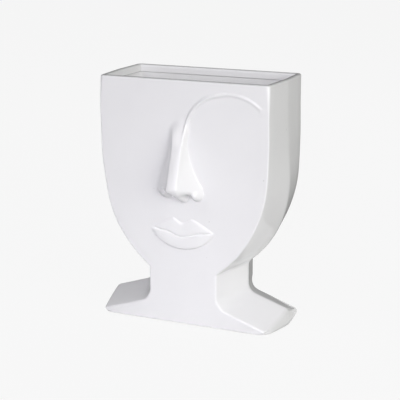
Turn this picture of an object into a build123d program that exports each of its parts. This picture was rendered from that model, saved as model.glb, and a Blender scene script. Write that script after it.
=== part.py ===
from build123d import *
from math import cos, radians, sin
import os

os.makedirs("parts", exist_ok=True)

# Walls and foot, mm
depth = 95.0  # flat front to flat back
panel_wall = 6.5  # front and back slabs
side_wall = 6.0  # strips round the sides
floor_wall = 6.0
floor_recess = 1.6  # floor plate set up inside the foot
least_headroom = 4.0  # the hollow of the base ends where it gets this low
pad_thickness = 1.2  # the foot stands this far off the table
pad_radius = 7.0
pad_inset = 5.0  # edge of a pad to the slab beside it

# Half widths of the front and back outline
rim_half = 103.0
cheek_half = 102.8
jaw_half = 83.8
neck_half = 41.4
tip_half = 101.5  # shoulder tips

# Heights, each measured up from the one before
tip_rise = 4.3  # foot to the top of a shoulder tip
shoulder_rise = 19.8  # to the root of the neck
neck_length = 38.2
jaw_rise = 49.3  # to the middle of the jaw's curve
cheek_rise = 120.7  # to the straight part of the head
jaw_angle = 40.0  # slope of the jaw where it meets the neck
jaw_run = 8.0  # straight part of the jaw at the neck
jaw_square = 30.0  # the jaw's wall is square to it at this angle below level

# The sides draft outward from both slabs to a ridge at mid depth, by this much
rim_crown = 1.0
cheek_crown = 1.8
jaw_crown = 11.4  # at this angle below level
jaw_crown_angle = 8.0
chin_crown = 8.8  # where the jaw meets the neck, upward
neck_crown = 21.5
root_crown = 14.6  # root of the neck, upward
tip_crown = 16.5  # shoulder tip, upward
end_crown = 4.9  # shoulder tip, outward

# Corner radii
chin_radius = 3.0  # jaw to neck
root_radius = 10.0  # neck to shoulder
tip_radius = 3.2
crown_tip_radius = 6.0  # shoulder tip at mid depth
hollow_radius = 2.0
edge_radius = 3.0  # soft outer edges

# Trimmed mouth: the wall is thinner above a narrow ledge
lip_wall = 4.6
ledge_drop = 8.5
mouth_corner = 4.0

# Lips of the face
chin_gap = 25.5  # root of the jaw to the lower lip
lip_half = 37.0
lower_lip_height = 15.0
corner_lift = 7.5  # corners of the mouth above its middle
peak_half = 11.0  # centre line to each peak of the upper lip
peak_height = 20.2  # peaks above the middle of the mouth
dip_height = 15.5  # upper lip above the middle of the mouth, on the centre line
lip_swell = 5.5
corner_swell = 1.2
mouth_gap = 0.6

# Nose, in levels from its base to the bridge, each rise measured from the level before
lip_gap = 21.0  # peaks of the lips to the foot of the septum
septum_drop = 6.0  # base of the nose to the foot of the septum
nose_base_half = 20.0
nose_base_swell = 14.0
nose_base_ridge = 6.0  # half width of the round ridge
nose_tip_rise = 9.0
nose_tip_half = 24.0
nose_tip_swell = 27.0
nose_tip_ridge = 6.0
flank_rise = 19.0
flank_half = 14.2
flank_swell = 22.5
flank_ridge = 5.2
saddle_rise = 20.0
saddle_half = 8.6
saddle_swell = 15.7
saddle_ridge = 5.0
nose_root_rise = 17.0
nose_root_half = 7.6
nose_root_swell = 9.4
nose_root_ridge = 4.8
bridge_rise = 20.0
bridge_half = 5.5
bridge_swell = 2.4
bridge_ridge = 3.6
wing_radius = 9.0
wing_half = 26.5  # centre line to the outside of a wing
wing_lift = 3.0  # wing centres above the base
wing_set = 1.0  # wing centres off the face
septum_radius = 6.0
nostril_radius = 3.2
nostril_half = 9.0
nostril_set = 7.5  # nostrils off the face

# Brow, with its points measured from its start at the bridge
brow_gap = 0.3
brow_width = 4.6
brow_height = 2.2
tail_width = 2.6
tail_height = 0.8
brow_bend = (10.0, 16.5)
brow_crest = (39.0, 31.2)
brow_tail = (87.5, 17.5)
brow_margin = 12.3  # crest to the rim

# Heights above the table
foot_z = pad_thickness
tip_z = foot_z + tip_rise
root_z = tip_z + shoulder_rise
neck_top_z = root_z + neck_length
jaw_z = neck_top_z + jaw_rise
cheek_z = jaw_z + cheek_rise
chin_z = neck_top_z + chin_gap
mouth_z = chin_z + lower_lip_height
nose_z = mouth_z + peak_height + lip_gap
nose_base_z = nose_z + septum_drop
nose_tip_z = nose_base_z + nose_tip_rise
flank_z = nose_tip_z + flank_rise
saddle_z = flank_z + saddle_rise
nose_root_z = saddle_z + nose_root_rise
bridge_z = nose_root_z + bridge_rise
brow_z = bridge_z + brow_gap
height = brow_z + brow_crest[1] + brow_margin
floor_z = foot_z + floor_recess
floor_top = floor_z + floor_wall
face_y = -depth / 2
inner_half_depth = depth / 2 - panel_wall

print(f"height {height:.1f}, width {2 * (tip_half + end_crown):.1f}, depth {depth:.1f}")


def crown_at(distance):
    # share of the full crown at a distance behind the front face, straight up to mid depth
    return 1 - abs(2 * distance / depth - 1)


def shoulder_line(crown, inset):
    # root and tip of the shoulder's top edge, moved square to it by the wall, and its direction
    root = Vector(neck_half + crown * neck_crown, root_z + crown * root_crown)
    tip = Vector(tip_half + crown * end_crown, tip_z + crown * tip_crown)
    run = (tip - root).normalized()
    inward = Vector(run.Y, -run.X) * inset
    return root + inward, tip + inward, run


def hollow_half():
    # half width of the base hollow, where its roof beside the slabs has the least headroom
    root, tip, run = shoulder_line(crown_at(panel_wall), side_wall)
    return root.X + (root.Y - floor_top - least_headroom) * run.X / -run.Y


def body_outline(y, crown, inset, top, bottom, end, end_radius):
    # closed outline of head, neck and shoulders at one depth, with the wall taken off as inset
    rim = rim_half + crown * rim_crown - inset
    cheek = cheek_half + crown * cheek_crown - inset
    neck = neck_half + crown * neck_crown - inset
    slope = radians(jaw_angle)
    lean = radians(jaw_crown_angle)
    jaw = (
        jaw_half + crown * jaw_crown * cos(lean) - inset * cos(radians(jaw_square)),
        jaw_z - crown * jaw_crown * sin(lean) + inset * sin(radians(jaw_square)),
    )
    corner = (neck, neck_top_z + crown * chin_crown + inset * (1 - sin(slope)) / cos(slope))
    chin = (neck + jaw_run * cos(slope), corner[1] + jaw_run * sin(slope))
    root, tip, run = shoulder_line(crown, inset)
    fall = run.Y / run.X
    with BuildSketch(Plane.XZ.offset(-y)) as outline:
        with BuildLine():
            Line((0, top), (rim, top))
            Line((rim, top), (cheek, cheek_z))
            Spline(
                (cheek, cheek_z),
                jaw,
                chin,
                tangents=[(0, -1), (-cos(slope), -sin(slope))],
            )
            FilletPolyline(
                chin,
                corner,
                (neck, root.Y + (neck - root.X) * fall),
                (end, root.Y + (end - root.X) * fall),
                (end, bottom),
                radius=[
                    chin_radius + crown * (root_radius - chin_radius),
                    root_radius,
                    end_radius,
                ],
            )
            Line((end, bottom), (0, bottom))
            mirror(about=Plane.YZ)
        make_face()
    return outline.sketch


def outer_outline(y, crown):
    end = tip_half + crown * end_crown
    end_radius = tip_radius + crown * (crown_tip_radius - tip_radius)
    return body_outline(y, crown, 0, height, foot_z, end, end_radius)


def hollow_outline(y):
    crown = crown_at(y + depth / 2)
    top = height + side_wall
    return body_outline(y, crown, side_wall, top, floor_top, hollow_half(), hollow_radius)


# Outer form: flat front and back, drafted straight out to the ridge between them
with BuildPart() as outer_form:
    loft(
        sections=[outer_outline(face_y, 0), outer_outline(0, 1), outer_outline(-face_y, 0)],
        ruled=True,
    )

# Hollow between the slabs, open at the top
with BuildPart() as hollow_form:
    loft(
        sections=[
            hollow_outline(-inner_half_depth),
            hollow_outline(0),
            hollow_outline(inner_half_depth),
        ],
        ruled=True,
    )

# Trimmed mouth above the ledge
with BuildPart() as mouth_form:
    with BuildSketch(Plane.XY.offset(height - ledge_drop)):
        RectangleRounded(2 * (rim_half - lip_wall), depth - 2 * lip_wall, mouth_corner)
    extrude(amount=2 * ledge_drop)


def rim_sides(form):
    # the two edges of the rim that run front to back
    rim_edges = form.faces().sort_by(Axis.Z)[-1].edges().sort_by(Axis.X)
    return [rim_edges[0], rim_edges[-1]]


def edges_above_foot(face):
    return face.edges().sort_by(Axis.Z)[1:]


# Front slab
with BuildPart() as face_panel:
    add(outer_form.part)
    split(bisect_by=Plane.XZ.offset(inner_half_depth), keep=Keep.TOP)
    front = face_panel.faces().sort_by(Axis.Y)[0]
    fillet(edges_above_foot(front) + rim_sides(face_panel), radius=edge_radius)
    add(mouth_form.part, mode=Mode.SUBTRACT)
face_panel.part.label = "face_panel"
export_step(face_panel.part, "parts/face_panel.step")

# Back slab
with BuildPart() as back_panel:
    add(outer_form.part)
    split(bisect_by=Plane.XZ.offset(-inner_half_depth), keep=Keep.BOTTOM)
    back = back_panel.faces().sort_by(Axis.Y)[-1]
    fillet(edges_above_foot(back) + rim_sides(back_panel), radius=edge_radius)
    add(mouth_form.part, mode=Mode.SUBTRACT)
back_panel.part.label = "back_panel"
export_step(back_panel.part, "parts/back_panel.step")

# Side strips between the slabs, solid in the shoulder tips
with BuildPart() as right_side_wall:
    add(outer_form.part)
    split(bisect_by=Plane.XZ.offset(inner_half_depth), keep=Keep.BOTTOM)
    split(bisect_by=Plane.XZ.offset(-inner_half_depth), keep=Keep.TOP)
    fillet(rim_sides(right_side_wall), radius=edge_radius)
    split(bisect_by=Plane.YZ, keep=Keep.TOP)
    add(hollow_form.part, mode=Mode.SUBTRACT)
    add(mouth_form.part, mode=Mode.SUBTRACT)
    with BuildSketch(Plane.XY.offset(foot_z)):
        Rectangle(2 * hollow_half(), 2 * inner_half_depth)
    extrude(amount=floor_top - foot_z, mode=Mode.SUBTRACT)
right_side_wall.part.label = "right_side_wall"
export_step(right_side_wall.part, "parts/right_side_wall.step")

with BuildPart() as left_side_wall:
    mirror(right_side_wall.part, about=Plane.YZ)
left_side_wall.part.label = "left_side_wall"
export_step(left_side_wall.part, "parts/left_side_wall.step")

# Floor, set up inside the foot
with BuildPart() as floor_plate:
    with BuildSketch(Plane.XY.offset(floor_z)):
        Rectangle(2 * hollow_half(), 2 * inner_half_depth)
    extrude(amount=floor_wall)
floor_plate.part.label = "floor_plate"
export_step(floor_plate.part, "parts/floor_plate.step")


def nose_section(level_z, half_width, swell, ridge):
    # one level of the nose: two flanks and a round ridge, flat against the face
    ridge_y = face_y - swell + ridge / 2
    with BuildSketch(Plane.XY.offset(level_z)) as section:
        with BuildLine():
            Line((-half_width, face_y), (-ridge, ridge_y))
            ThreePointArc((-ridge, ridge_y), (0, face_y - swell), (ridge, ridge_y))
            Line((ridge, ridge_y), (half_width, face_y))
            Line((half_width, face_y), (-half_width, face_y))
        make_face()
    return section.sketch


# Nose: a lofted wedge with round wings and septum, and the nostrils sunk between them
with BuildPart() as nose:
    loft(
        sections=[
            nose_section(nose_base_z, nose_base_half, nose_base_swell, nose_base_ridge),
            nose_section(nose_tip_z, nose_tip_half, nose_tip_swell, nose_tip_ridge),
            nose_section(flank_z, flank_half, flank_swell, flank_ridge),
            nose_section(saddle_z, saddle_half, saddle_swell, saddle_ridge),
            nose_section(nose_root_z, nose_root_half, nose_root_swell, nose_root_ridge),
            nose_section(bridge_z, bridge_half, bridge_swell, bridge_ridge),
        ]
    )
    wing_x = wing_half - wing_radius
    wing_z = nose_base_z + wing_lift
    with Locations((-wing_x, face_y - wing_set, wing_z), (wing_x, face_y - wing_set, wing_z)):
        Sphere(wing_radius)
    with Locations((0, face_y - septum_radius, nose_z + septum_radius)):
        Sphere(septum_radius)
    with Locations(
        (-nostril_half, face_y - nostril_set, nose_base_z),
        (nostril_half, face_y - nostril_set, nose_base_z),
    ):
        Sphere(nostril_radius, mode=Mode.SUBTRACT)
    split(bisect_by=Plane.XZ.offset(-face_y), keep=Keep.TOP)
nose.part.label = "nose"
export_step(nose.part, "parts/nose.step")


def mouth_line(share):
    # height of the line between the lips, low in the middle and rising to the corners
    return mouth_z + corner_lift * abs(share) ** 0.8


def lower_edge(share):
    # lower edge of the lower lip, an arc from corner to corner
    sag = lower_lip_height + corner_lift
    radius = (lip_half**2 + sag**2) / (2 * sag)
    return chin_z + radius - (radius**2 - (share * lip_half) ** 2) ** 0.5


def upper_edge(share):
    # upper edge of the upper lip: straight from a corner to its peak, then down to the dip
    if abs(share) > peak_share:
        rest = (1 - abs(share)) / (1 - peak_share)
        return mouth_z + corner_lift + (peak_height - corner_lift) * rest
    return mouth_z + dip_height + (peak_height - dip_height) * (abs(share) / peak_share) ** 2


def lip_section(share, low, high):
    # one slice of a lip: flat against the face, round in front
    swell = corner_swell + (lip_swell - corner_swell) * (1 - share**2)
    with BuildSketch(Plane.YZ.offset(share * lip_half)) as section:
        with BuildLine():
            Line((face_y, low), (face_y, high))
            ThreePointArc((face_y, high), (face_y - swell, (low + high) / 2), (face_y, low))
        make_face()
    return section.sketch


# Lips, lofted from corner to corner, with slices at the peaks and closer towards the corners
peak_share = peak_half / lip_half
right_shares = [peak_share + (1 - peak_share) * part for part in (0, 0.4, 0.72, 0.93)]
lip_shares = [-share for share in reversed(right_shares)] + [0] + right_shares
with BuildPart() as lower_lip:
    loft(
        sections=[
            lip_section(share, lower_edge(share), mouth_line(share) - mouth_gap / 2)
            for share in lip_shares
        ]
    )
lower_lip.part.label = "lower_lip"
export_step(lower_lip.part, "parts/lower_lip.step")

with BuildPart() as upper_lip:
    loft(
        sections=[
            lip_section(share, mouth_line(share) + mouth_gap / 2, upper_edge(share))
            for share in lip_shares
        ]
    )
upper_lip.part.label = "upper_lip"
export_step(upper_lip.part, "parts/upper_lip.step")

# Brow: a bead that thins out along two tangent arcs
brow_x = bridge_half + brow_width / 4
bend_point = (brow_x + brow_bend[0], brow_z + brow_bend[1])
crest_point = (brow_x + brow_crest[0], brow_z + brow_crest[1])
tail_point = (brow_x + brow_tail[0], brow_z + brow_tail[1])
with BuildPart() as brow:
    with BuildLine(Plane.XZ.offset(-face_y)) as brow_line:
        rise = ThreePointArc((brow_x, brow_z), bend_point, crest_point)
        TangentArc(rise @ 1, tail_point, tangent=rise % 1)
    path = brow_line.line
    for share, width, bead in ((0, brow_width, brow_height), (1, tail_width, tail_height)):
        with BuildSketch(Plane(path @ share, x_dir=(0, -1, 0), z_dir=path % share)):
            with BuildLine():
                Line((0, -width / 2), (0, width / 2))
                ThreePointArc((0, width / 2), (bead, 0), (0, -width / 2))
            make_face()
    sweep(multisection=True)
brow.part.label = "brow"
export_step(brow.part, "parts/brow.step")

# Felt pads under the shoulder tips
pad_x = (hollow_half() + tip_half) / 2
pad_y = inner_half_depth - pad_inset - pad_radius
for side, x in (("left", -pad_x), ("right", pad_x)):
    for end, y in (("front", -pad_y), ("back", pad_y)):
        with BuildPart() as foot_pad:
            with BuildSketch():
                with Locations((x, y)):
                    Circle(pad_radius)
            extrude(amount=pad_thickness)
        foot_pad.part.label = f"foot_pad_{end}_{side}"
        export_step(foot_pad.part, f"parts/foot_pad_{end}_{side}.step")
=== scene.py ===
import math

import bpy
import numpy as np
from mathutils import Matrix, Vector


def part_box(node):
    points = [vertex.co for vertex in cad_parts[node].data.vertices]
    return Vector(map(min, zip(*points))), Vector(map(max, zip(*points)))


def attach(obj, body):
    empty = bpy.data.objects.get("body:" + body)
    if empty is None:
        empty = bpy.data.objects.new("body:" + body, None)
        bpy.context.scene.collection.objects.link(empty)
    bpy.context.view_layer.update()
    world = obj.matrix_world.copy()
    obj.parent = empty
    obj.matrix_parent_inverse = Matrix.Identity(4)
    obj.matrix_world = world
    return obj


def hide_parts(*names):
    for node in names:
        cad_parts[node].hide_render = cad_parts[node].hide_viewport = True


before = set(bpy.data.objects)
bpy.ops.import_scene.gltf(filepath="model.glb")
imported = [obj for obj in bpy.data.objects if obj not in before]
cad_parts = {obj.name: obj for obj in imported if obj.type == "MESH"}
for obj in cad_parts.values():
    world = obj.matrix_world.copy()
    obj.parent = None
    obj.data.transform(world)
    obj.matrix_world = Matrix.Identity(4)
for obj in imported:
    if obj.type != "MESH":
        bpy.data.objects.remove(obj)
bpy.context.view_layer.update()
print("frame loaded")

mm = 0.001  # shapes are worked out in millimetres and made in metres


def boxOf(name):
    # Lowest and highest corner of a CAD node, in millimetres
    low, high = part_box(name)
    return np.array(low) / mm, np.array(high) / mm


faceLow, faceHigh = boxOf("face_panel")

# Outer form of the vase. A place is (half width, height) on the flat front, a crown is how far the
# side swells out and up at mid depth, and a pair of radii is for the front and for mid depth
body = {
    "depth": boxOf("back_panel")[1][1] - faceLow[1],
    "foot": faceLow[2],
    "tip": (101.5, 5.5),  # end of the shoulder
    "root": (41.4, 25.3),  # where the shoulder meets the neck
    "neckTop": (41.4, 63.5),
    "jaw": (83.8, 112.8),
    "cheek": (102.8, 233.5),
    "rim": (103.0, faceHigh[2]),
    "jawSlope": 40.0,  # degrees
    "jawRun": 8.0,  # straight start of the jaw
    "tipCrown": (4.9, 13.9),
    "tipBulge": 3.2,  # how much fuller the shoulder ends are
    "neckCrown": (18.8, 10.25),
    "chinCrown": 6.25,
    "jawCrown": 12.4,
    "jawCrownSlope": 2.7,  # degrees
    "cheekCrown": 2.8,
    "rimCrown": 2.4,
    "tipRadius": (3.2, 6.0),
    "rootRadius": (17.0, 13.0),
    "chinRadius": (3.0, 10.0),
    "ridgeRound": 0.03,  # softness of the ridge at mid depth, as a share of half the depth
    "edgeBend": 0.56,  # how far a rounded edge is drawn to its corner
    "frontEdge": (  # (place along the outline, radius)
        (0.0, 11.0),
        (1.0, 11.0),
        (1.6, 2.3),
        (3.0, 1.8),
        (4.2, 1.7),
        (7.3, 1.4),
        (9.3, 1.4),
        (10.0, 5.0),
    ),
    "backEdge": ((6.5, 3.0), (8.5, 5.5)),
    "leastEdge": (1.2, 1.6),  # least radius in front and behind
    "edgeLoss": 0.6,  # radius lost for each millimetre of inset
    "leastClimb": 0.03,  # least rise from row to row inside an edge
    "sideWall": 5.0,
    "faceWall": 5.2,
    "lipWall": 6.2,  # thickness at the mouth, over the ledge
    "rimRound": 2.0,
    "ledge": 8.5,  # depth under the rim
    "ledgeRound": 0.4,
    "footRing": (  # (inset, rise) from the recess over the ring to the outer edge
        (9.4, 1.6),
        (7.0, 1.6),
        (6.4, 0.8),
        (5.7, 0.0),
        (1.1, 0.0),
        (0.35, 0.25),
    ),
    "floorTop": boxOf("floor_plate")[1][2],
    "floorFall": (0.5, 0.9, 1.0),  # shares of the way from the hollow's last row to the floor
    "floorInset": (0.985, 0.95),  # rings on the floor, as shares of its outline
    "innerCorner": 3.0,
    "rimTilt": (1.2, 150.0, faceHigh[2]),  # rise at the right, and heights of its start and end
    "neckBack": (3.4, 22.0, 42.0, 60.0, 88.0),  # wider by, and heights of its start, full part and end
    "lean": ((1.5, 160.0, 30.0), (0.6, 215.0, 22.0)),  # (shift to the right, height, spread)
}

# The half outline has ten spans from the foot to the rim: foot, tip arc, shoulder, root arc, neck,
# chin arc, start of the jaw, lower jaw, cheek and side
outlineEnd = 10
jawSpan = 6


def crownAt(y):
    # Share of the crown at depth y: straight from front and back up to a soft ridge at mid depth
    far = 2 * y / body["depth"]
    soft = body["ridgeRound"]
    return 1 - (np.sqrt(far * far + soft * soft) - soft) / (math.sqrt(1 + soft * soft) - soft)


def cornerOf(before, corner, after, radius):
    # Tangent points and centre of the arc of this radius in a corner
    toBefore = (before - corner) / abs(before - corner)
    toAfter = (after - corner) / abs(after - corner)
    half = abs(np.angle(toAfter / toBefore)) / 2
    reach = radius / np.tan(half)
    middle = (toBefore + toAfter) / abs(toBefore + toAfter)
    return corner + reach * toBefore, corner + reach * toAfter, corner + middle * radius / np.sin(half)


def arcAt(start, end, centre, share):
    # The start turned about the centre by a share of the whole turn
    turn = np.angle((end - centre) / (start - centre))
    return centre + (start - centre) * np.exp(1j * turn * share)


def hermite(start, end, leave, arrive, share):
    # Cubic with given ends and end speeds
    a = share * share * (3 - 2 * share)
    b = share * (1 - share) ** 2
    c = share * share * (share - 1)
    return start * (1 - a) + end * a + leave * b + arrive * c


def outline(along, crown):
    # Half outline as x + iz: straight lines, three corner arcs, and two cubics in the jaw that
    # have the same direction and curvature where they meet
    along, crown = np.broadcast_arrays(np.asarray(along, float), np.asarray(crown, float))

    def placeOf(name, out, up):
        # A place, moved by its crown
        return body[name][0] + out * crown + 1j * (body[name][1] + up * crown)

    def radiusOf(name):
        # From the radius on the front to that at mid depth
        front, middle = body[name]
        return front + (middle - front) * crown

    tip = placeOf("tip", *body["tipCrown"]) + body["tipBulge"] * crown * (2 - crown)
    foot = tip.real + 1j * body["foot"]
    root = placeOf("root", *body["neckCrown"])
    neckTop = placeOf("neckTop", body["neckCrown"][0], body["chinCrown"])
    slope = np.exp(1j * math.radians(body["jawSlope"]))
    chin = neckTop + body["jawRun"] * slope
    jawTurn = math.radians(body["jawCrownSlope"])
    jaw = placeOf("jaw", body["jawCrown"] * math.cos(jawTurn), body["jawCrown"] * math.sin(jawTurn))
    cheek = placeOf("cheek", body["cheekCrown"], 0)
    rim = placeOf("rim", body["rimCrown"], 0)
    tipArc = cornerOf(foot, tip, root, radiusOf("tipRadius"))
    rootArc = cornerOf(tip, root, neckTop, radiusOf("rootRadius"))
    chinArc = cornerOf(root, neckTop, chin, radiusOf("chinRadius"))
    rise = (rim - cheek) / abs(rim - cheek)
    low, high = abs(jaw - chin), abs(cheek - jaw)
    pull = 3 * ((jaw - chin) / low**2 + (cheek - jaw) / high**2)
    through = (pull - slope / low - rise / high) / (2 / low + 2 / high)
    span = np.clip(np.floor(along), 0, outlineEnd - 1).astype(int)
    t = along - span
    spans = [
        foot + (tipArc[0] - foot) * t,
        arcAt(*tipArc, t),
        tipArc[1] + (rootArc[0] - tipArc[1]) * t,
        arcAt(*rootArc, t),
        rootArc[1] + (chinArc[0] - rootArc[1]) * t,
        arcAt(*chinArc, t),
        chinArc[1] + (chin - chinArc[1]) * t,
        hermite(chin, jaw, slope * low, through * low, t),
        hermite(jaw, cheek, through * high, rise * high, t),
        cheek + (rim - cheek) * t,
    ]
    return np.select([span == k for k in range(outlineEnd)], spans)


def outwardAt(along, crown):
    # Unit normal of the outline: its tangent turned a quarter clockwise
    step = 1e-4
    before, after = np.maximum(along - step, 0), np.minimum(along + step, outlineEnd)
    run = outline(after, crown) - outline(before, crown)
    return -1j * run / abs(run)


def wallAt(along, y, inset):
    # The outline at depth y, moved in by the inset
    crown = crownAt(y)
    return outline(along, crown) - inset * outwardAt(along, crown)


def bend(a, corner, b, share):
    # Cubic from a to b drawn towards the corner between them
    p, q = a + (corner - a) * body["edgeBend"], b + (corner - b) * body["edgeBend"]
    rest = 1 - share
    return a * rest**3 + 3 * p * rest**2 * share + 3 * q * rest * share**2 + b * share**3


def steps(stops, counts):
    # Even steps from stop to stop, with a count for each stretch, and the last stop
    runs = [np.linspace(a, b, count + 1)[:-1] for a, b, count in zip(stops, stops[1:], counts)]
    return np.concatenate(runs + [[stops[-1]]])


def valueAt(place, pairs):
    # Straight lines through (place, value) pairs
    return np.interp(place, *zip(*pairs))


# Columns round the vase: shares across the front and back, of the edges and of the sides; they are
# close together over the face and at the ridge
sideSteps = np.linspace(-1, 1, 18)
columns = {
    "front": steps((-1.0, -0.42, 0.42, 0.96, 1.0), (19, 129, 54, 2)),
    "edge": np.linspace(0, 1, 7)[1:-1],
    "side": 0.5 + 0.5 * sideSteps * abs(sideSteps) ** 1.1,
    "back": np.linspace(1, -1, 15),
}


def ring(along, sideInset, faceInset, front, back, outside):
    # Closed loops, one a row: front, right side, back and left side, with rounded edges;
    # the front columns keep the height of the outline's edge point, so that rows stay level
    yFront = faceInset - body["depth"] / 2
    yBack = -yFront
    parts = []

    def add(flat, y):
        # A stretch of the loop, from x + iz and y
        flat, y = np.broadcast_arrays(flat, y)
        parts.append((flat.real, y, flat.imag))

    def cornerTo(y, radius, sign):
        # Inner end, sharp corner and side end of an edge; the inner ends climb from row to row
        edge = wallAt(along, y, sideInset)
        inner = edge - radius * outwardAt(along, crownAt(y))
        climb = body["leastClimb"] * np.arange(outside)[:, None]
        rising = inner[:outside].imag - climb
        inner[:outside] = inner[:outside].real + 1j * (np.maximum.accumulate(rising) + climb)
        sideY = y + sign * radius
        return inner, edge, wallAt(along, sideY, sideInset), sideY

    inF, edgeF, sideF, yF = cornerTo(yFront, front, 1)
    inB, edgeB, sideB, yB = cornerTo(yBack, back, -1)
    add(inF.real * columns["front"] + 1j * inF.imag, yFront)
    t = columns["edge"]
    add(bend(inF, edgeF, sideF, t), bend(yFront, yFront, yF, t))
    y = yF + (yB - yF) * columns["side"]
    add(wallAt(along, y, sideInset), y)
    add(bend(sideB, edgeB, inB, t), bend(yB, yBack, yBack, t))
    right = [np.concatenate(axis, 1) for axis in zip(*parts[1:])]
    add(inB.real * columns["back"] + 1j * inB.imag, yBack)
    left = [-right[0][:, ::-1], right[1][:, ::-1], right[2][:, ::-1]]
    return [np.concatenate(axis, 1) for axis in zip(parts[0], right, parts[-1], left)]


farBelow = -9.0  # height where a feature of the face doesn't reach


def softMax(a, b, width):
    # The larger of two heights, with a fillet of this width where they cross
    near = np.maximum(width - abs(a - b), 0) / width
    return np.maximum(a, b) + near * near * width / 4


def softMin(a, b, width):
    # The smaller of two heights, rounded in the same way
    return -softMax(-a, -b, width)


def smoothStep(low, high, value):
    # 0 below low, 1 above high, and a cubic between them
    t = np.clip((value - low) / (high - low), 0, 1)
    return t * t * (3 - 2 * t)


def mound(x, z, across, up, halfWidth, halfHeight, height):
    # Paraboloid that goes on below zero outside its rim
    return height * (1 - ((x - across) / halfWidth) ** 2 - ((z - up) / halfHeight) ** 2)


def cone(x, z, across, up, halfWidth, halfHeight, height):
    # Elliptic cone with a blunt point
    blunt = 0.01
    return height * (1 - np.sqrt(((x - across) / halfWidth) ** 2 + ((z - up) / halfHeight) ** 2 + blunt))


# Nose on the flat front: x to the right, z up; a wing or nostril is (x, z, half width, half height,
# height or depth)
nose = {
    "x": -0.7,
    "tip": (163.0, 28.0),  # z and height on the ridge
    "ridgeFall": 0.338,  # height that the ridge loses for each millimetre up
    "under": (159.3, 30.0),  # z and height on the underside
    "underSlope": (1.8, 3.0),  # in the middle and at the sides
    "septum": (3.0, 2.0, 9.0),  # x, and how far from it the slope starts and ends to change
    "tipRound": 12.0,
    "melt": (206.0, 252.0),  # z where the ridge starts to melt into the face and where it is gone
    "ridgeHalf": (5.4, 9.4),  # half width of the ridge, and at the left of its upper end
    "ridgeWiden": (203.0, 232.0),
    "ridgeCurve": 0.02,
    "ridgeRound": 0.9,
    "sink": (1.2, 0.5, 1.0),  # drop of the melted end, and the shares of melting where it comes in
    # Foot of each flank: least width beside the ridge, more where that melts, and a spread by a power
    "right": {"least": 1.8, "melted": 7.0, "spread": 17.0, "power": 2.2},
    "rightRun": (214.0, 52.0, 54.0),  # z where the spread starts, its run down, and where it stops
    "left": {"least": 1.5, "melted": 2.5, "spread": 26.0, "power": 1.4},
    "leftRun": (150.0, 82.0),  # z where the spread is full, and its run up
    "leftHollow": 1.4,  # power that hollows the left flank
    "rightWing": (18.9, 153.8, 7.6, 8.0, 11.0),
    "leftWing": (17.0, 154.4, 12.5, 8.4, 14.0),
    "wingFillet": 4.0,
    "nostril": (9.6, 151.2, 3.6, 3.0, 8.0),
    "nostrilFade": 3.0,  # height of the nose at which a nostril has its full depth
    "fillet": 1.6,
}


def noseHeight(x, z):
    # The lower of a ridge that falls upwards and an underside that falls downwards, cut by two
    # flanks that reach zero at the feet of the nose, with wings joined on and nostrils sunk in
    x = x - nose["x"]
    middle, near, far = nose["septum"]
    middleSlope, sideSlope = nose["underSlope"]
    underSlope = middleSlope + (sideSlope - middleSlope) * smoothStep(near, far, abs(x - middle))
    tipZ, tipHeight = nose["tip"]
    underZ, underHeight = nose["under"]
    top = tipHeight + nose["ridgeFall"] * (tipZ - z)
    melt = smoothStep(*nose["melt"], z)
    ridge = softMin(top, underHeight + underSlope * (z - underZ), nose["tipRound"]) * (1 - melt)
    narrow, wide = nose["ridgeHalf"]
    half = narrow + (wide - narrow) * smoothStep(*nose["ridgeWiden"], z) * (x < 0)
    startZ, run, most = nose["rightRun"]
    foot = nose["right"]
    spread = foot["spread"] * (np.clip(startZ - z, 0, most) / run) ** foot["power"]
    right = half + foot["least"] + foot["melted"] * melt + spread
    lowZ, run = nose["leftRun"]
    foot = nose["left"]
    spread = foot["spread"] * (1 - (np.clip(z - lowZ, 0, run) / run) ** foot["power"])
    left = half + foot["least"] + foot["melted"] * melt + spread
    base = np.where(x < 0, left, right)
    reach = (base - abs(x)) / (base - half)
    reach = np.where((x < 0) & (reach > 0), np.maximum(reach, 0) ** nose["leftHollow"], reach)
    flank = np.maximum(ridge, 0.0) * reach
    drop, begin, end = nose["sink"]
    wedge = softMin(ridge - nose["ridgeCurve"] * x * x, flank, nose["ridgeRound"])
    wedge = wedge - drop * smoothStep(begin, end, melt)
    wing = np.where(x < 0, cone(-x, z, *nose["leftWing"]), mound(x, z, *nose["rightWing"]))
    made = softMax(wedge, wing, nose["wingFillet"])
    across, up, halfWidth, halfHeight, deep = nose["nostril"]
    hole = deep * np.exp(-(((abs(x) - across) / halfWidth) ** 2) - ((z - up) / halfHeight) ** 2)
    return made - hole * smoothStep(0, nose["nostrilFade"], made)


# Brow: arcs through three points each, and (share of its length, size) pairs
brow = {
    "arcs": (
        ((5.4, 212.0), (5.0, 224.0), (6.8, 236.0)),
        ((6.8, 236.0), (17.0, 252.4), (43.0, 265.9)),
        ((43.0, 265.9), (72.0, 265.9), (94.5, 252.6)),
    ),
    "counts": (23, 59, 79),  # points on each arc
    "half": ((0.0, 2.4), (0.5, 2.4), (1.0, 1.5)),
    "height": ((0.0, 0.0), (0.14, 2.2), (0.5, 2.2), (0.96, 0.7), (1.0, 0.0)),
    "leastHeight": 0.05,  # keeps the bead's section where its height is zero
    "across": (-8.0, 102.0),  # field that holds the whole brow
    "up": (200.0, 276.0),
    "sunk": -1.5,  # lowest level beside the bead
    "fillet": 1.2,
}


def arcThrough(a, b, c, share):
    # Points of the circle through three points, from the first to the last
    a, b, c = (complex(*p) for p in (a, b, c))
    w = (c - a) / (b - a)
    centre = a + (b - a) * (w - abs(w) ** 2) / (w - w.conjugate())
    return arcAt(a, c, centre, share)


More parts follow.
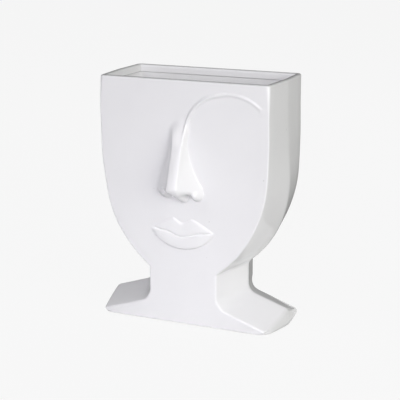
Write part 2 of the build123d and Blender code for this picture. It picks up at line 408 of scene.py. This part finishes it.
def browHeight(x, z):
    # A round bead along three arcs, thinning to its tail and fading into the nose: a parabola of
    # the distance to the nearest point of the path
    arcs = zip(brow["arcs"], brow["counts"])
    runs = [arcThrough(*arc, np.arange(count) / count) for arc, count in arcs]
    path = np.concatenate(runs + [[complex(*brow["arcs"][-1][-1])]])
    run = np.concatenate([[0], np.cumsum(abs(np.diff(path)))])
    made = np.full(x.shape, farBelow)
    left, right = brow["across"]
    low, high = brow["up"]
    near = (x > left) & (x < right) & (z > low) & (z < high)
    gap = abs((x[near] + 1j * z[near])[:, None] - path[None, :])
    share = run[gap.argmin(1)] / run[-1]
    height = np.maximum(valueAt(share, brow["height"]), brow["leastHeight"])
    made[near] = height * (1 - (gap.min(1) / valueAt(share, brow["half"])) ** 2)
    return made


# Lips: the mouth line, the edges of both lips and their swelling
lips = {
    "half": 38.0,
    "line": (104.0, 111.7),  # z of the mouth line in the middle and at its corners
    "cornerRise": 2.0,  # last part of the line's rise
    "lineBends": (0.02, 0.6, 1.0),  # shares of the half width where the line bends
    "lowerDepth": 22.4,
    "peak": (12.0, 124.6),  # x and z of the peaks of the upper lip
    "dipZ": 119.6,
    "edgePower": 1.25,
    "least": 0.6,  # least height of a lip, for shares of it
    "fade": 0.35,  # share of an edge that is left at the corners
    "lower": {"step": 3.2, "reach": 0.4, "dome": 1.0, "domePower": 0.8},
    "upper": {"step": 0.7, "reach": 1.4, "swell": 2.1},
    "groove": {"deep": 1.9, "wide": 1.0, "under": 0.5, "fade": 0.3},  # under: below the mouth line
    "fillet": 0.5,
}


def lipHeight(x, z):
    # The lower lip is a pillow with a steep lower edge, the upper one swells down to the mouth
    # line; an edge rises as one less an exponential, and the line is a groove of bell section
    half = lips["half"]
    q = np.clip(x / half, -1, 1)
    middle, corner = lips["line"]
    start, turn, end = lips["lineBends"]
    line = middle + (corner - lips["cornerRise"] - middle) * smoothStep(start, turn, abs(q))
    line = line + lips["cornerRise"] * smoothStep(turn, end, abs(q))
    bottom = corner - lips["lowerDepth"] * np.sqrt(np.maximum(1 - q * q, 0)) ** lips["edgePower"]
    peakX, peakZ = lips["peak"]
    slopeOut = np.maximum(abs(x) - peakX, 0) / (half - peakX)
    top = np.where(
        abs(x) < peakX,
        lips["dipZ"] + (peakZ - lips["dipZ"]) * smoothStep(0, peakX, abs(x)),
        peakZ - (peakZ - corner) * np.minimum(slopeOut, 1) ** lips["edgePower"],
    )
    ends = 1 - abs(q) ** 3
    fade = lips["fade"] + (1 - lips["fade"]) * ends

    def edgeOf(lip, inward, height):
        # Rise of a lip's edge, and the share of the lip's height that lies behind a point
        inward = np.maximum(inward, 0)
        share = np.clip(inward / np.maximum(height, lips["least"]), 0, 1)
        return lip["step"] * (1 - np.exp(-inward / lip["reach"])), share

    lip = lips["lower"]
    edge, share = edgeOf(lip, z - bottom, line - bottom)
    lower = fade * edge + lip["dome"] * ends * np.sin(math.pi * share ** lip["domePower"])
    lower = lower + farBelow * (z < bottom)
    lip = lips["upper"]
    edge, share = edgeOf(lip, top - z, top - line)
    upper = fade * (edge + lip["swell"] * share) + farBelow * (z > top)
    made = np.where(z < line, lower, upper)
    groove = lips["groove"]
    deep = groove["deep"] * (groove["fade"] + (1 - groove["fade"]) * ends)
    made = made - deep * np.exp(-(((z - line + groove["under"]) / groove["wide"]) ** 2))
    return np.where(abs(x) < half, made, farBelow)


def reliefAt(x, z):
    # Height of the face over the flat front: nose, brow on the nose, and lips, with fillets
    made = softMax(noseHeight(x, z), 0 * x, nose["fillet"])
    made = softMax(made + np.maximum(browHeight(x, z), brow["sunk"]), made, brow["fillet"])
    return softMax(made, lipHeight(x, z), lips["fillet"])


def castShape(x, y, z):
    # The hand-finished cast: its rim higher at the right, its neck wider behind and its head a
    # little to the right at the jaw
    most, low, high = body["rimTilt"]
    tilt = most * x / body["rim"][0] * smoothStep(low, high, z)
    wide, start, full, end, gone = body["neckBack"]
    behind = smoothStep(0, body["depth"] / 2, y)
    behind = behind * smoothStep(start, full, z) * (1 - smoothStep(end, gone, z))
    x = x + wide * behind * np.clip(x / body["neckTop"][0], -1, 1)
    for most, level, spread in body["lean"]:
        x = x + most * np.exp(-(((z - level) / spread) ** 2))
    return x, z + tilt


def placed(name, data):
    # A new object in the scene
    made = bpy.data.objects.new(name, data)
    bpy.context.scene.collection.objects.link(made)
    return made


def meshOf(name, points, rings, count):
    # Quads between rows that close round the columns, and a cap on the first and last row
    mesh = bpy.data.meshes.new(name)
    row, col = np.meshgrid(np.arange(rings - 1), np.arange(count), indexing="ij")
    nextCol = (col + 1) % count
    here, above = row * count, (row + 1) * count
    quads = np.stack([here + col, here + nextCol, above + nextCol, above + col], -1).reshape(-1, 4)
    caps = [list(range(count))[::-1], list(range((rings - 1) * count, rings * count))]
    mesh.from_pydata(points.tolist(), [], quads.tolist() + caps)
    mesh.update()
    mesh.polygons.foreach_set("use_smooth", np.ones(len(mesh.polygons), bool))
    return placed(name, mesh)


# Rows of the body: stops along the outline with counts, or heights with a pitch, which is finer over
# the lips, the nose and the brow
rowSteps = {
    "low": ((0.35, 0.7, 1.0, 2.0, 3.0, 4.0, 5.0, 6.0), (1, 1, 5, 15, 8, 11, 6)),
    "jaw": (1.0, 86.2, 10),  # start over the chin, end and count
    "face": ((87, 127, 0.62), (127, 142, 1.6), (142, 168, 0.6), (168, 232, 1.35), (232, 272, 0.85)),
    "top": (272.0, 4),
    "rim": 6,  # in each quarter turn
    "lip": (1.5, 0.8, 3),  # start under the rim's round, end over the ledge, and count
    "ledge": 6,
    "hollow": (1.2, 80.0, 26),  # start under the ledge, end and count
    "base": ((6.4, 6.0, 5.0, 4.0, 3.0, 2.56), (1, 4, 5, 5, 4)),
    "table": 2001,  # places from which a height is turned into a place along the outline
}


def bodyRows():
    # Rows from the recess under the foot, up the outside, over the rim and down inside, each with
    # its place along the outline, insets at the side and face, and corner and height where set
    table = np.linspace(jawSpan, outlineEnd, rowSteps["table"])
    heights = outline(table, 0).imag
    spanAt = lambda z: np.interp(z, heights, table)
    rimZ, lipWall = body["rim"][1], body["lipWall"]
    rows = []

    def add(along, inset, faceInset=None, corner=0.0, z=math.nan):
        # One more row; its face is inset as its side is, unless given
        rows.append((along, inset, inset if faceInset is None else faceInset, corner, z))

    for inset, rise in body["footRing"]:
        add(0.0, inset, z=body["foot"] + rise)
    underFoot = len(rows)
    start, end, count = rowSteps["jaw"]
    upper = [np.linspace(heights[0] + start, end, count)]
    upper += [np.arange(*pitch) for pitch in rowSteps["face"]]
    start, count = rowSteps["top"]
    upper += [np.linspace(start, rimZ - body["rimRound"], count)]
    for along in np.concatenate([steps(*rowSteps["low"]), spanAt(np.concatenate(upper))]):
        add(along, 0.0)
    outside = len(rows)
    quarter = np.linspace(0, 1, rowSteps["rim"] + 1) * math.pi / 2
    curve = body["rimRound"] * np.stack([1 - np.cos(quarter), 1 - np.sin(quarter)], 1)
    for inward, drop in curve[1:]:
        add(outlineEnd, inward, z=rimZ - drop)
    rimTop = len(rows)
    for inward, drop in curve[::-1]:
        add(outlineEnd, lipWall - inward, z=rimZ - drop)
    ledgeZ = rimZ - body["ledge"]
    start, end, count = rowSteps["lip"]
    for z in np.linspace(rimZ - body["rimRound"] - start, ledgeZ + end, count):
        add(spanAt(z), lipWall, z=z)
    for share in np.linspace(0, 1, rowSteps["ledge"]):
        sideInset = lipWall + (body["sideWall"] - lipWall) * share
        faceInset = lipWall + (body["faceWall"] - lipWall) * share
        z = ledgeZ + body["ledgeRound"] * math.cos(math.pi * share)
        add(spanAt(ledgeZ), sideInset, faceInset, z=z)
    start, end, count = rowSteps["hollow"]
    hollow = spanAt(np.linspace(ledgeZ - start, end, count))
    for along in np.concatenate([hollow, steps(*rowSteps["base"])]):
        add(along, body["sideWall"], body["faceWall"], body["innerCorner"])
    return np.array(rows, float), underFoot, outside, rimTop


rows, underFoot, outside, rimTop = bodyRows()
alongs, sideInsets, faceInsets, corners, rowHeights = (column[:, None] for column in rows.T)


def edgeRadii(edge, least):
    # Radius of an edge at each row, less where the row is inset, or the corner of the hollow
    radii = np.maximum(valueAt(alongs, edge) - body["edgeLoss"] * sideInsets, least)
    return np.where(corners > 0, corners, radii)


fronts = edgeRadii(body["frontEdge"], body["leastEdge"][0])
backs = edgeRadii(body["backEdge"], body["leastEdge"][1])
bodyX, bodyY, bodyZ = ring(alongs, sideInsets, faceInsets, fronts, backs, outside)
bodyZ = np.where(np.isnan(rowHeights), bodyZ, rowHeights)
bodyX, bodyZ = castShape(bodyX, bodyY, bodyZ)
onFace = slice(underFoot, outside), slice(len(columns["front"]))
bodyY[onFace] -= np.maximum(reliefAt(bodyX[onFace], bodyZ[onFace]), 0)
# The hollow ends in an upright wall down to the floor
lastRow = np.stack([bodyX[-1], bodyY[-1], bodyZ[-1]])
toFloor = np.stack([0 * bodyX[-1], 0 * bodyY[-1], body["floorTop"] - bodyZ[-1]])
floorRows = [lastRow + toFloor * share for share in body["floorFall"]]
floorRows += [floorRows[-1] * [[inset], [inset], [1.0]] for inset in body["floorInset"]]
bodyGrid = np.concatenate([np.stack([bodyX, bodyY, bodyZ], 1), floorRows]).transpose(0, 2, 1)
rings, count = bodyGrid.shape[:2]
glazedBody = meshOf("glazed_body", bodyGrid.reshape(-1, 3) * mm, rings, count)
inside = np.repeat(np.arange(rings) > rimTop, count).astype(np.float32)
glazedBody.data.attributes.new("inside", "FLOAT", "POINT").data.foreach_set("value", inside)
print("body", (rings, count), len(glazedBody.data.polygons) * 2, "triangles about")

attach(glazedBody, "root")
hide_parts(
    "face_panel",
    "back_panel",
    "left_side_wall",
    "right_side_wall",
    "floor_plate",
    "nose",
    "brow",
    "upper_lip",
    "lower_lip",
)

# Felt pads: low round discs with a soft edge, as (share of the radius, share of the thickness) from
# the underside round to the top
pads = {
    "names": [f"foot_pad_{end}_{side}" for end in ("front", "back") for side in ("left", "right")],
    "under": ((0.3, 0.0), (0.8, 0.0), (0.95, 0.0), (0.985, 0.08), (1.0, 0.3)),
    "over": ((1.0, 0.75), (0.985, 0.95), (0.95, 1.0), (0.8, 1.0), (0.3, 1.0)),
    "columns": 48,
}
across, up = np.array(pads["under"] + pads["over"]).T[:, :, None]
angles = np.linspace(0, 2 * np.pi, pads["columns"], endpoint=False)[None, :]
padPieces = []
for name in pads["names"]:
    low, high = boxOf(name)
    middle, half = (low + high) / 2, (high - low) / 2
    x = middle[0] + half[0] * across * np.cos(angles)
    y = middle[1] + half[1] * across * np.sin(angles)
    z = low[2] + 2 * half[2] * up + 0 * angles
    points = np.stack([x, y, z], -1).reshape(-1, 3) * mm
    pad = meshOf(name.replace("foot_pad", "felt"), points, *x.shape)
    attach(pad, "root")
    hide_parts(name)
    padPieces.append(pad)
print("felt pads", len(padPieces))


def materialOf(name):
    # A new material with its nodes, links and shader
    made = bpy.data.materials.new(name)
    made.use_nodes = True
    nodes = made.node_tree.nodes
    return made, nodes, made.node_tree.links, nodes["Principled BSDF"]


def noiseOf(nodes, links, place, scale, detail):
    # Noise on the piece's own coordinates
    made = nodes.new("ShaderNodeTexNoise")
    made.inputs["Scale"].default_value = scale
    made.inputs["Detail"].default_value = detail
    links.new(place.outputs["Object"], made.inputs["Vector"])
    return made.outputs["Fac"]


def rampOf(nodes, links, value, *stops):
    # Colour that goes from one (place, tone) stop to the other
    made = nodes.new("ShaderNodeValToRGB")
    for element, (place, tone) in zip(made.color_ramp.elements, stops):
        element.position = place
        element.color = (*tone, 1)
    links.new(value, made.inputs["Fac"])
    return made.outputs["Color"]


def rangeOf(nodes, links, value, start, end):
    # Straight line from one (value, result) pair to the other, level outside them
    made = nodes.new("ShaderNodeMapRange")
    for limit, (given, result) in (("Min", start), ("Max", end)):
        made.inputs["From " + limit].default_value = given
        made.inputs["To " + limit].default_value = result
    links.new(value, made.inputs["Value"])
    return made.outputs["Result"]


def toned(nodes, links, colour, share, tone):
    # The colour so far, mixed with a tone by a share
    made = nodes.new("ShaderNodeMix")
    made.data_type = "RGBA"
    made.inputs["B"].default_value = (*tone, 1)
    links.new(share, made.inputs["Factor"])
    links.new(colour, made.inputs["A"])
    return made.outputs["Result"]


def bumpOf(nodes, links, shader, height, strength, distance):
    # Fine relief in the shader's normal
    made = nodes.new("ShaderNodeBump")
    made.inputs["Strength"].default_value = strength
    made.inputs["Distance"].default_value = distance
    links.new(height, made.inputs["Height"])
    links.new(made.outputs["Normal"], shader.inputs["Normal"])


# Glaze: bright white with a faint change of tone, slight waves and pinholes, painted light that makes it
# whiter inside the hollow, painted shade in grey on the up-facing rim, and bare clay under the foot
glazeLook = {
    "ior": 1.5,
    "cloud": (14.0, 2.0),  # scale and detail
    "tones": ((0.3, (0.842, 0.842, 0.845)), (0.7, (0.862, 0.862, 0.865))),
    # painted light: the inside is toned whiter, standing in for the light that fills the hollow
    "paintedLightInside": (0.94, 0.94, 0.94),
    "speckScale": 42.0,
    "speck": ((0.012, 0.75), (0.022, 0.0)),  # (distance from a cell's middle, strength)
    "speckTone": (0.2, 0.18, 0.17),
    "bare": ((0.1, 1.0), (0.6, 0.0)),  # (millimetres over the foot, share of bare clay)
    "clayTone": (0.74, 0.70, 0.64),
    # painted shade: the top of the rim is toned grey, standing in for the shade on a face that looks up
    "paintedRimShade": ((-1.4, 0.0), (-0.3, 0.4)),  # (millimetres over the rim, share of grey)
    "paintedRimShadeTone": (0.36, 0.36, 0.36),
    "roughness": ((0.0, 0.1), (1.0, 0.75)),  # (share of bare clay, roughness)
    "waves": (55.0, 1.0),  # scale and detail
    "waveBump": (0.12, 0.0012),  # strength and distance
}


def atHeight(pairs, height):
    # (millimetres over a height, result) pairs, with the first in metres over the table
    return [((height + over) * mm, result) for over, result in pairs]


glaze, nodes, links, shader = materialOf("white_glaze")
place = nodes.new("ShaderNodeTexCoord")
shader.inputs["IOR"].default_value = glazeLook["ior"]
colour = rampOf(nodes, links, noiseOf(nodes, links, place, *glazeLook["cloud"]), *glazeLook["tones"])
within = nodes.new("ShaderNodeAttribute")
within.attribute_name = "inside"
# Painted light: the rows inside the mouth are toned whiter, standing in for the light that fills the
# hollow
colour = toned(nodes, links, colour, within.outputs["Fac"], glazeLook["paintedLightInside"])
cells = nodes.new("ShaderNodeTexVoronoi")
cells.inputs["Scale"].default_value = glazeLook["speckScale"]
links.new(place.outputs["Object"], cells.inputs["Vector"])
speck = rangeOf(nodes, links, cells.outputs["Distance"], *glazeLook["speck"])
colour = toned(nodes, links, colour, speck, glazeLook["speckTone"])
split = nodes.new("ShaderNodeSeparateXYZ")
links.new(place.outputs["Object"], split.inputs["Vector"])
bare = rangeOf(nodes, links, split.outputs["Z"], *atHeight(glazeLook["bare"], body["foot"]))
colour = toned(nodes, links, colour, bare, glazeLook["clayTone"])
# Height with the rim's tilt taken off: z less the tilt's slope times x
level = nodes.new("ShaderNodeMath")
level.operation = "MULTIPLY_ADD"
level.inputs[1].default_value = -body["rimTilt"][0] / body["rim"][0]
links.new(split.outputs["X"], level.inputs[0])
links.new(split.outputs["Z"], level.inputs[2])
# Painted shade: the glaze in the last millimetre or so under the rim's top is toned grey, standing in
# for the shade on the up-facing rim
paintedRimShade = rangeOf(nodes, links, level.outputs[0], *atHeight(glazeLook["paintedRimShade"], body["rim"][1]))
colour = toned(nodes, links, colour, paintedRimShade, glazeLook["paintedRimShadeTone"])
links.new(colour, shader.inputs["Base Color"])
rough = rangeOf(nodes, links, bare, *glazeLook["roughness"])
links.new(rough, shader.inputs["Roughness"])
waves = noiseOf(nodes, links, place, *glazeLook["waves"])
bumpOf(nodes, links, shader, waves, *glazeLook["waveBump"])
glazedBody.data.materials.append(glaze)

# Felt: grey fibres from one fine noise, in its colour and its relief
feltLook = {
    "fibre": (2600.0, 4.0),  # scale and detail
    "tones": ((0.3, (0.30, 0.29, 0.28)), (0.7, (0.50, 0.49, 0.48))),
    "roughness": 1.0,
    "specular": 0.1,
    "bump": (0.6, 0.0003),  # strength and distance
}
felt, nodes, links, shader = materialOf("grey_felt")
fibre = noiseOf(nodes, links, nodes.new("ShaderNodeTexCoord"), *feltLook["fibre"])
links.new(rampOf(nodes, links, fibre, *feltLook["tones"]), shader.inputs["Base Color"])
shader.inputs["Roughness"].default_value = feltLook["roughness"]
shader.inputs["Specular IOR Level"].default_value = feltLook["specular"]
bumpOf(nodes, links, shader, fibre, *feltLook["bump"])
for pad in padPieces:
    pad.data.materials.append(felt)
print("materials")

# Studio: a pale floor and background, which are seen brighter than they light the vase
studio = {
    "white": 0.922,
    "ambient": 0.12,
    "floorHalf": 6.0,  # metres
    "floorTone": (0.6, 0.6, 0.6),
    "floorShare": 0.94,
    "floorGlow": 0.967,
}


def directSight(nodes, links):
    # 1 for camera, glossy and transmission rays
    path = nodes.new("ShaderNodeLightPath")
    total = path.outputs["Is Camera Ray"]
    for name in ("Is Glossy Ray", "Is Transmission Ray"):
        add = nodes.new("ShaderNodeMath")
        add.operation = "MAXIMUM"
        links.new(total, add.inputs[0])
        links.new(path.outputs[name], add.inputs[1])
        total = add.outputs[0]
    return total


def clearedTree(owner):
    # Nodes and links of a world or material, with no node in them yet
    owner.use_nodes = True
    owner.node_tree.nodes.clear()
    return owner.node_tree.nodes, owner.node_tree.links


def mixOf(nodes, links, share, first, second):
    # One shader where the share is 0 and another where it is 1
    made = nodes.new("ShaderNodeMixShader")
    links.new(share, made.inputs["Fac"])
    links.new(first.outputs[0], made.inputs[1])
    links.new(second.outputs[0], made.inputs[2])
    return made


def sheetOf(name, corners):
    # One flat quad
    mesh = bpy.data.meshes.new(name)
    mesh.from_pydata(corners, [], [(0, 1, 2, 3)])
    return placed(name, mesh)


world = bpy.data.worlds.new("studio")
bpy.context.scene.world = world
nodes, links = clearedTree(world)
dim = nodes.new("ShaderNodeBackground")
seen = nodes.new("ShaderNodeBackground")
for light, strength in ((dim, studio["ambient"]), (seen, studio["white"])):
    light.inputs["Color"].default_value = (1, 1, 1, 1)
    light.inputs["Strength"].default_value = strength
mix = mixOf(nodes, links, directSight(nodes, links), dim, seen)
links.new(mix.outputs[0], nodes.new("ShaderNodeOutputWorld").inputs["Surface"])

half = studio["floorHalf"]
floor = sheetOf("floor", [(-half, -half, 0), (half, -half, 0), (half, half, 0), (-half, half, 0)])
paper = bpy.data.materials.new("paper")
nodes, links = clearedTree(paper)
matte = nodes.new("ShaderNodeBsdfDiffuse")
matte.inputs["Color"].default_value = (*studio["floorTone"], 1)
glow = nodes.new("ShaderNodeEmission")
glow.inputs["Strength"].default_value = studio["floorGlow"]
share = nodes.new("ShaderNodeMath")
share.operation = "MULTIPLY"
share.inputs[1].default_value = studio["floorShare"]
links.new(directSight(nodes, links), share.inputs[0])
mix = mixOf(nodes, links, share.outputs[0], matte, glow)
# From below the floor is clear, so that the underside can be seen
sideSeen = nodes.new("ShaderNodeNewGeometry").outputs["Backfacing"]
oneWay = mixOf(nodes, links, sideSeen, mix, nodes.new("ShaderNodeBsdfTransparent"))
links.new(oneWay.outputs[0], nodes.new("ShaderNodeOutputMaterial").inputs["Surface"])
floor.data.materials.append(paper)

# Two cards behind the vase, seen only in its reflections: a dark one draws the rim, which looks
# up, and a grey one the edges that turn away below it
cards = {
    "y": 0.12,
    "across": (-0.6, 0.7),
    "grey_card": {"up": (0.0, 0.272), "tone": 0.22},
    "dark_card": {"up": (0.272, 0.6), "tone": 0.05},
    "hiddenFrom": ("camera", "diffuse", "shadow", "transmission"),
}
left, right = cards["across"]
for name in ("grey_card", "dark_card"):
    y = cards["y"]
    low, high = cards[name]["up"]
    card = sheetOf(name, [(left, y, low), (right, y, low), (right, y, high), (left, y, high)])
    for kind in cards["hiddenFrom"]:
        setattr(card, "visible_" + kind, False)
    coat = bpy.data.materials.new(name)
    nodes, links = clearedTree(coat)
    shine = nodes.new("ShaderNodeEmission")
    shine.inputs["Strength"].default_value = cards[name]["tone"]
    links.new(shine.outputs[0], nodes.new("ShaderNodeOutputMaterial").inputs["Surface"])
    card.data.materials.append(coat)

# Soft square lamps: degrees to the right of the front and up, metres away and wide, watts and colour;
# the low one is narrow and aimed at the foot
lampAim = {"aim": 0.14, "spread": 180.0}  # metres up and degrees, for lamps that don't say
lamps = {
    "key": dict(turn=55.0, lift=15.0, away=1.8, size=1.1, watts=16.3, colour=(1.0, 1.0, 0.96)),
    "front": dict(turn=5.0, lift=20.0, away=2.0, size=1.2, watts=12.2, colour=(0.9, 0.87, 1.0)),
    "left": dict(turn=-45.0, lift=40.0, away=1.8, size=0.8, watts=4.4, colour=(1.0, 1.0, 0.99)),
    "high": dict(turn=70.0, lift=50.0, away=1.8, size=0.8, watts=2.6, colour=(1.0, 1.0, 1.0)),
    "low": dict(
        turn=0.0,
        lift=8.0,
        away=0.9,
        size=0.25,
        watts=0.05,
        colour=(0.95, 0.94, 1.0),
        aim=0.02,
        spread=28.0,
    ),
    "back": dict(turn=180.0, lift=45.0, away=1.9, size=1.0, watts=8.0, colour=(1.0, 1.0, 1.0)),
}


def lookAlong(made, direction):
    # Turns a lamp or camera, which looks down its own -z, to a direction
    made.rotation_mode = "QUATERNION"
    made.rotation_quaternion = direction.to_track_quat("-Z", "Y")


for name, own in lamps.items():
    lamp = {**lampAim, **own}
    data = bpy.data.lights.new(name, "AREA")
    data.size = lamp["size"]
    data.energy = lamp["watts"]
    data.color = lamp["colour"]
    data.spread = math.radians(lamp["spread"])
    turn, lift = math.radians(lamp["turn"]), math.radians(lamp["lift"])
    back = Vector((math.sin(turn) * math.cos(lift), -math.cos(turn) * math.cos(lift), math.sin(lift)))
    made = placed(name, data)
    made.location = Vector((0, 0, lamp["aim"])) + back * lamp["away"]
    lookAlong(made, -back)

# Camera at the photograph's angle, in millimetres for the lens and metres for the place
view = {
    "sensor": 36.0,
    "lens": 129.58,
    "place": (0.68514, -1.43739, 0.53707),
    "look": (-0.41769, 0.87497, -0.24489),
}
cameraData = bpy.data.cameras.new("camera")
cameraData.sensor_width = view["sensor"]
cameraData.lens = view["lens"]
camera = placed("camera", cameraData)
camera.location = view["place"]
lookAlong(camera, Vector(view["look"]))
bpy.context.scene.camera = camera
bpy.context.scene.view_settings.view_transform = "Standard"
print("studio")
